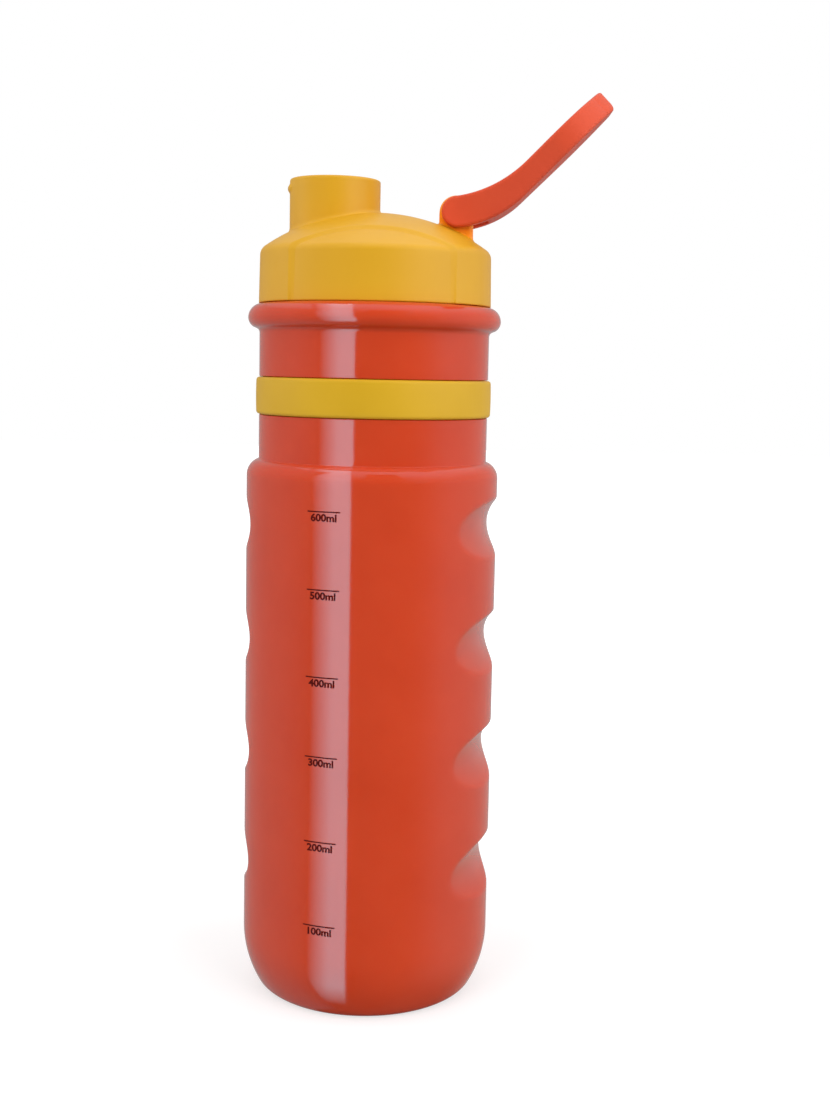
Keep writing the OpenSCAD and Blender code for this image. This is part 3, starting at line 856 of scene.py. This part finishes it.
class Look:
    """A node material with one Principled shader and a few shorthand ways to wire it."""

    def __init__(self, name):
        self.material = bpy.data.materials.new(name)
        self.material.use_nodes = True
        self.tree = self.material.node_tree
        self.shader = self.tree.nodes["Principled BSDF"]
        self.place = self.add("ShaderNodeTexCoord").outputs["Object"]

    def add(self, kind, **settings):
        """New node, with its properties or input sockets set by name."""
        node = self.tree.nodes.new(kind)
        for key, value in settings.items():
            if hasattr(node, key):
                setattr(node, key, value)
            else:
                node.inputs[key].default_value = value
        return node

    def wire(self, source, target):
        self.tree.links.new(source, target)

    def noise(self, scale, detail, roughness, stretch=None):
        """Noise in the object's own coordinates, which may be scaled by axis first."""
        node = self.add("ShaderNodeTexNoise", Scale=scale, Detail=detail, Roughness=roughness)
        place = self.place
        if stretch:
            mapping = self.add("ShaderNodeMapping", Scale=stretch)
            self.wire(place, mapping.inputs["Vector"])
            place = mapping.outputs["Vector"]
        self.wire(place, node.inputs["Vector"])
        return node.outputs["Fac"]

    def spread(self, value, low, high, start=0.3, end=0.7):
        """Socket that runs from low to high while value runs from start to end."""
        return map_range(self.tree, value, start, end, low, high)

    def blend(self, factor, first, second):
        """Colour between two others, each given as a tuple or a socket."""
        node = self.add("ShaderNodeMix", data_type="RGBA")
        for socket, value in ((node.inputs[6], first), (node.inputs[7], second)):
            if isinstance(value, tuple):
                socket.default_value = value
            else:
                self.wire(value, socket)
        self.wire(factor, node.inputs[0])
        return node.outputs[2]

    def bump(self, *layers):
        """Stacks (height, strength, depth in mm) into the shader's normal."""
        normal = None
        for height, strength, depth in layers:
            node = self.add("ShaderNodeBump", Strength=strength, Distance=depth * MM)
            self.wire(height, node.inputs["Height"])
            if normal:
                self.wire(normal, node.inputs["Normal"])
            normal = node.outputs["Normal"]
        self.wire(normal, self.shader.inputs["Normal"])

    def set(self, **numbers):
        """Sets sockets of the shader by name, with _ for a space."""
        for key, value in numbers.items():
            self.shader.inputs[key.replace("_", " ")].default_value = value


CLOUD_SCALE = 38.0
FINE_SCALE = 900.0
FINE_DEPTH = 0.02
RUB_SCALE = 160.0
RUB_STRETCH = (1.0, 1.0, 0.12)
SOFT_DEPTH = 4 * MM


def moulded(name, deep, light, rough, grain, grain_depth, sheen_level, soft=0.0, soft_radius=None):
    """Moulded plastic: clouded colour, uneven gloss, fine surface grain and faint rub marks."""
    look = Look(name)
    clouds = look.noise(CLOUD_SCALE, 4.0, 0.55)
    fine = look.noise(FINE_SCALE, 2.0, 0.5)
    colour = look.blend(look.spread(clouds, 0.0, 1.0), deep, light)
    look.wire(colour, look.shader.inputs["Base Color"])
    rubs = look.noise(RUB_SCALE, 6.0, 0.7, stretch=RUB_STRETCH)
    look.wire(look.spread(rubs, *rough), look.shader.inputs["Roughness"])
    look.bump((look.noise(grain, 2.0, 0.5), 0.5, grain_depth), (fine, 0.12, FINE_DEPTH))
    look.set(IOR=1.5, Specular_IOR_Level=sheen_level)
    if soft:
        look.set(Subsurface_Weight=soft, Subsurface_Scale=SOFT_DEPTH, Subsurface_Radius=soft_radius)
    return look


orange_body = moulded(
    "squeeze_plastic_orange", srgb(205, 66, 31), srgb(211, 71, 36), rough=(0.085, 0.105),
    grain=420.0, grain_depth=0.006, sheen_level=0.75, soft=0.15, soft_radius=(1.0, 0.25, 0.1))
orange_body.set(Specular_Tint=(0.15, 0.8, 1.0, 1.0))
orange_lid = moulded(
    "lid_plastic_orange", srgb(214, 76, 45), srgb(220, 82, 49), rough=(0.44, 0.52),
    grain=1500.0, grain_depth=0.006, sheen_level=0.4)
yellow_cap = moulded(
    "cap_plastic_yellow", srgb(217, 161, 24), srgb(223, 168, 30), rough=(0.4, 0.48),
    grain=1700.0, grain_depth=0.02, sheen_level=0.62)
yellow_band = moulded(
    "band_rubber_yellow", srgb(211, 165, 24), srgb(217, 171, 30), rough=(0.44, 0.52),
    grain=1200.0, grain_depth=0.05, sheen_level=0.48)
silicone = moulded(
    "seal_silicone", srgb(212, 212, 206), srgb(222, 222, 217), rough=(0.45, 0.58),
    grain=1300.0, grain_depth=0.03, sheen_level=0.4, soft=0.2, soft_radius=(1.0, 0.95, 0.9))
milky = moulded(
    "tube_milky", srgb(216, 224, 229), srgb(228, 234, 237), rough=(0.3, 0.42),
    grain=700.0, grain_depth=0.03, sheen_level=0.5, soft=0.3, soft_radius=(0.9, 1.0, 1.0))

# Where the painted orange bounce light on the lug starts and is full: distance before the hinge,
# and height above the dome
BOUNCE_BEFORE_HINGE = (6.4, 4.6)
BOUNCE_PROUD = (0.03, 0.6)


def painted_bounce_near_hinge(look, bounce_colour):
    """Painted light: the lug's colour is blended towards orange where the lid's arms, close to both
    of its sides, would throw orange bounce light on it.
    """
    split = look.add("ShaderNodeSeparateXYZ")
    look.wire(look.place, split.inputs[0])
    start, end = ((HINGE[0] - gap) * MM for gap in BOUNCE_BEFORE_HINGE)
    near = look.spread(split.outputs["X"], 0.0, 1.0, start, end)
    from_middle = look.add("ShaderNodeVectorMath", operation="DISTANCE")
    from_middle.inputs[1].default_value = (0.0, 0.0, DOME_Z * MM)
    look.wire(look.place, from_middle.inputs[0])
    start, end = ((DOME_R + rise) * MM for rise in BOUNCE_PROUD)
    proud = look.spread(from_middle.outputs["Value"], 0.0, 1.0, start, end)
    socket = look.shader.inputs["Base Color"]
    plain = socket.links[0].from_socket
    # Blend the base colour towards the painted orange bounce light
    look.wire(look.blend(maths(look.tree, "MULTIPLY", near, proud), plain, bounce_colour), socket)


# Painted orange bounce light from the lid's arms on the hinge lug
painted_bounce_near_hinge(yellow_cap, srgb(255, 148, 2))


def ink_look():
    """Dark red printing ink, slightly speckled and nearly matte."""
    look = Look("scale_ink")
    speckle = look.noise(2400.0, 3.0, 0.6)
    colour = look.blend(look.spread(speckle, 0.0, 1.0), srgb(80, 11, 5), srgb(96, 17, 9))
    look.wire(colour, look.shader.inputs["Base Color"])
    look.wire(look.spread(speckle, 0.4, 0.55), look.shader.inputs["Roughness"])
    look.bump((speckle, 0.3, 0.01))
    look.set(Specular_IOR_Level=0.15)
    return look


ink = ink_look()

PIECES = [
    (body, orange_body, "bottle", "bottle_orange", "bottle_body"),
    (band, yellow_band, "bottle", "band_yellow", "grip_band"),
    (gasket, silicone, "seal", "seal_silicone", "cap_gasket"),
    (cap, yellow_cap, "cap", "cap_yellow", "screw_cap"),
    (lid, orange_lid, "lid", "lid_orange", "flip_lid"),
    (lid_seal, silicone, "lid", "seal_silicone", "lid_seal"),
    (stopper, milky, "stopper", "tube_milky", "ice_tube_stopper"),
    (o_ring, silicone, "stopper", "seal_silicone", "stopper_o_ring"),
    (tube, milky, "tube", "tube_milky", "ice_tube"),
]
for piece, look, body_name, slot, node in PIECES:
    piece.data.materials.append(look.material)
    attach(piece, body_name)
    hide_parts(node)
for mark in marks:
    mark.data.materials.append(ink.material)
    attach(mark, "bottle")


# Stage: pale floor, white surround, soft lamps, one long strip box and two screens

SIDE_LEVELS = (0.4, 0.5)
FRONT_LEVEL = 0.07
BELOW_LEVEL = 0.35
SKY_LEVEL = 0.6
WARM_BELOW = (1.12, 0.85, 0.76, 1)
FLOOR_HALF_W = 3.0
FLOOR_GREY = (0.42, 0.42, 0.42, 1)
FLOOR_FADE = (0.06, 0.4)
FLOOR_GLOW = (0.62, 0.95)


def shown_rays(tree):
    """1 for rays that show the background itself: camera and transmission rays."""
    rays = tree.nodes.new("ShaderNodeLightPath").outputs
    return maths(tree, "MAXIMUM", rays["Is Camera Ray"], rays["Is Transmission Ray"])


def make_world():
    """White to the camera. For other rays: paler at the sides than in front, bright above, dark and
    warm below."""
    world = bpy.data.worlds.new("studio")
    bpy.context.scene.world = world
    world.use_nodes = True
    tree = world.node_tree
    tree.nodes.clear()
    place = tree.nodes.new("ShaderNodeTexCoord")
    split = tree.nodes.new("ShaderNodeSeparateXYZ")
    tree.links.new(place.outputs["Generated"], split.inputs[0])
    x, y, z = (split.outputs[axis] for axis in "XYZ")
    side = map_range(tree, x, -1.0, 1.0, *SIDE_LEVELS)
    front = map_range(tree, y, -0.85, -0.1, FRONT_LEVEL, side, smooth=True)
    below = map_range(tree, z, -0.85, -0.45, BELOW_LEVEL, 1.0, smooth=True)
    sky = map_range(tree, z, 0.35, 0.95, 0.0, SKY_LEVEL, smooth=True)
    around = maths(tree, "ADD", maths(tree, "MULTIPLY", front, below), sky)
    level = tree.nodes.new("ShaderNodeMix")
    level.inputs[3].default_value = 1.0
    tree.links.new(shown_rays(tree), level.inputs[0])
    tree.links.new(around, level.inputs[2])
    colour = tree.nodes.new("ShaderNodeMix")
    colour.data_type = "RGBA"
    colour.inputs[6].default_value = (1, 1, 1, 1)
    colour.inputs[7].default_value = WARM_BELOW
    tree.links.new(map_range(tree, z, -0.5, -0.15, 1.0, 0.0, smooth=True), colour.inputs[0])
    surround = tree.nodes.new("ShaderNodeBackground")
    tree.links.new(colour.outputs[2], surround.inputs["Color"])
    tree.links.new(level.outputs[0], surround.inputs["Strength"])
    out = tree.nodes.new("ShaderNodeOutputWorld")
    tree.links.new(surround.outputs[0], out.inputs["Surface"])


def stage_object(name, points, faces):
    """Linked mesh object in metres with an empty node material, and that material's tree."""
    mesh = bpy.data.meshes.new(name)
    mesh.from_pydata([tuple(p) for p in points], [], faces)
    obj = bpy.data.objects.new(name, mesh)
    bpy.context.scene.collection.objects.link(obj)
    material = bpy.data.materials.new(name)
    material.use_nodes = True
    material.node_tree.nodes.clear()
    mesh.materials.append(material)
    return obj, material.node_tree


def show(tree, shader):
    """Makes a shader the surface of its material."""
    out = tree.nodes.new("ShaderNodeOutputMaterial")
    tree.links.new(shader.outputs[0], out.inputs["Surface"])


def make_floor():
    """Grey floor that takes shadows. It also glows for rays that show it, less near the bottle."""
    half = FLOOR_HALF_W
    corners = [(-half, -half, 0), (half, -half, 0), (half, half, 0), (-half, half, 0)]
    floor, tree = stage_object("floor", corners, [(0, 1, 2, 3)])
    pale = tree.nodes.new("ShaderNodeBsdfDiffuse")
    pale.inputs["Color"].default_value = FLOOR_GREY
    glow = tree.nodes.new("ShaderNodeEmission")
    place = tree.nodes.new("ShaderNodeTexCoord")
    away = tree.nodes.new("ShaderNodeVectorMath")
    away.operation = "LENGTH"
    tree.links.new(place.outputs["Object"], away.inputs[0])
    fill = map_range(tree, away.outputs["Value"], *FLOOR_FADE, *FLOOR_GLOW)
    tree.links.new(maths(tree, "MULTIPLY", shown_rays(tree), fill), glow.inputs["Strength"])
    both = tree.nodes.new("ShaderNodeAddShader")
    tree.links.new(pale.outputs[0], both.inputs[0])
    tree.links.new(glow.outputs[0], both.inputs[1])
    show(tree, both)
    floor.visible_glossy = False


def lamp(name, place, target, size, watts):
    """Square lamp at place, turned to target, that leaves no highlight of its own."""
    light = bpy.data.lights.new(name, "AREA")
    light.shape = "RECTANGLE"
    light.size = light.size_y = size
    light.energy = watts
    obj = bpy.data.objects.new(name, light)
    bpy.context.scene.collection.objects.link(obj)
    obj.location = place
    obj.rotation_euler = (Vector(target) - Vector(place)).to_track_quat("-Z", "Y").to_euler()
    obj.visible_glossy = False
    return obj


def glow_card(name, points, columns, uv_at, level_at):
    """Glowing card through rows of points, which only glossy rays see. uv_at(row, column) gives a
    point's place in the UV map, and level_at(tree, u, v) makes the glow's strength from it."""
    rows = len(points) // columns
    faces = [(at, at + 1, at + columns + 1, at + columns)
             for row in range(rows - 1) for at in range(row * columns, (row + 1) * columns - 1)]
    card, tree = stage_object(name, points, faces)
    layer = card.data.uv_layers.new(name="UVMap")
    for loop in card.data.loops:
        layer.data[loop.index].uv = uv_at(*divmod(loop.vertex_index, columns))
    uv = tree.nodes.new("ShaderNodeUVMap")
    split = tree.nodes.new("ShaderNodeSeparateXYZ")
    tree.links.new(uv.outputs[0], split.inputs[0])
    glow = tree.nodes.new("ShaderNodeEmission")
    glow.inputs["Color"].default_value = (1, 1, 1, 1)
    strength = level_at(tree, split.outputs["X"], split.outputs["Y"])
    tree.links.new(strength, glow.inputs["Strength"])
    show(tree, glow)
    card.visible_camera = False
    card.visible_diffuse = False
    card.visible_shadow = False
    return card


STRIP_DISTANCE = 3.0
STRIP_TILTS = np.radians(np.linspace(-36, 50, 44))
STRIP_COLUMNS = 17
STRIP_FOOT = 0.14
STRIP_FOOT_LEVEL = 0.03
LOWEST_SIGHT = math.radians(22.4)
STREAK_LEAN = math.radians(1.0)


def strip_points(left, right):
    """Rows of points on a far card that upright, raised and lowered faces of the bottle mirror to
    the photograph's viewpoint at the same turns round the bottle, from left to right in degrees."""
    eye = np.array(camera.matrix_world.translation)
    points = []
    for tilt in STRIP_TILTS:
        lean = STREAK_LEAN * np.clip(-2 * tilt / LOWEST_SIGHT, 0, 1)
        for turn in np.radians(np.linspace(left, right, STRIP_COLUMNS)) + lean:
            facing = np.array([math.sin(turn), -math.cos(turn), 0.0])
            normal = math.cos(tilt) * facing + math.sin(tilt) * np.array([0.0, 0.0, 1.0])
            sight = (BODY_R * MM * facing - eye) * (1, 1, 0)
            sight /= np.linalg.norm(sight)
            points.append(STRIP_DISTANCE * (sight - 2 * (sight @ normal) * normal))
    return points


def strip_box(left, right, full, strength):
    """Tall curved card in front and to the left: it draws the straight highlight that runs down the
    bottle over collar, shoulder and base, sharp on its right and fading out to the left. Only the
    bottle piece takes its light."""

    def uv_at(row, column):
        return column / (STRIP_COLUMNS - 1), row / (len(STRIP_TILTS) - 1)

    def level_at(tree, u, v):
        fade = map_range(tree, u, 0.0, full, 0.0, strength)
        foot = map_range(tree, v, 0.0, STRIP_FOOT, STRIP_FOOT_LEVEL, 1.0)
        return maths(tree, "MULTIPLY", fade, foot)

    card = glow_card("strip_box", strip_points(left, right), STRIP_COLUMNS, uv_at, level_at)
    lit = bpy.data.collections.new("lit_by_strip_box")
    lit.objects.link(body)
    card.light_linking.receiver_collection = lit


FLAG_R = 0.07
FLAG_HEIGHTS = (-0.15, 0.235)
FLAG_COLUMNS = 64
FLAG_FADE = (67.5, 19)


def flag(name, left, right):
    """Upright curved screen close to the bottle, from left to right in degrees round it. It keeps
    the strip box from flaring along the outline seen from behind, and glows about as the surround
    does there."""
    turns = np.radians(np.linspace(left, right, FLAG_COLUMNS))
    points = [(FLAG_R * math.sin(a), -FLAG_R * math.cos(a), z) for z in FLAG_HEIGHTS for a in turns]

    def uv_at(_, column):
        return math.degrees(turns[column]) / 180 + 1, 0.0

    def level_at(tree, u, _):
        start, end = (1 - turn / 180 for turn in FLAG_FADE)
        return map_range(tree, u, start, end, SIDE_LEVELS[0], FRONT_LEVEL, smooth=True)

    screen = glow_card(name, points, FLAG_COLUMNS, uv_at, level_at)


# Camera, fitted to the photograph

PHOTO_SIZE = (830, 1102)
FOCAL_PX = 1479.7
STAND_OFF = 437.9
EYE_HEIGHT = 186.0
PITCH, YAW, ROLL = 0.122876, 0.029916, 0.0201527
PHOTO_TURN = math.radians(2.05)
SENSOR_MM = 36.0

forward = Vector((
    math.sin(YAW) * math.cos(PITCH), math.cos(YAW) * math.cos(PITCH), -math.sin(PITCH)))
level = Vector((math.cos(YAW), -math.sin(YAW), 0))
upright = level.cross(forward)
right = math.cos(ROLL) * level + math.sin(ROLL) * upright
top = -math.sin(ROLL) * level + math.cos(ROLL) * upright
axes = Matrix((right, top, -forward)).transposed().to_4x4()
camera_data = bpy.data.cameras.new("camera")
camera_data.sensor_fit = "VERTICAL"
camera_data.sensor_height = SENSOR_MM
camera_data.lens = FOCAL_PX * SENSOR_MM / PHOTO_SIZE[1]
camera_data.clip_start = 0.01
camera = bpy.data.objects.new("camera", camera_data)
bpy.context.scene.collection.objects.link(camera)
place = Matrix.Translation((0, -STAND_OFF * MM, EYE_HEIGHT * MM))
camera.matrix_world = Matrix.Rotation(PHOTO_TURN, 4, "Z") @ place @ axes
bpy.context.scene.camera = camera
bpy.context.scene.view_settings.view_transform = "Standard"


# Name, place, target, size and watts of each lamp that lights everything
LAMPS = [
    ("front_left", (-0.675, -0.975, 0.715), (0, 0, 0.16), 0.68, 7.0),
    ("front_right", (0.825, -0.9, 0.64), (0, 0, 0.16), 0.68, 6.85),
    ("side_left", (-1.125, 0.04, 0.46), (0, 0, 0.18), 0.68, 2.5),
    ("side_right", (1.01, -0.15, 0.5), (0, 0, 0.2), 0.68, 3.2),
    ("overhead", (0.0, -0.2, 1.4), (0, 0, 0.2), 1.0, 0.6),
]

make_world()
make_floor()
for lamp_row in LAMPS:
    lamp(*lamp_row)
back = lamp("back", (0.1, 1.1, 0.5), (0, 0, 0.14), 0.68, 3.0)
lit_from_behind = bpy.data.collections.new("lit_from_behind")
for piece in [row[0] for row in PIECES] + marks:
    lit_from_behind.objects.link(piece)
back.light_linking.receiver_collection = lit_from_behind
strip_box(-24.5, -6.9, 0.59, 3.87)
flag("flag_left", -135.0, -40.5)
flag("flag_right", -3.0, 24.0)
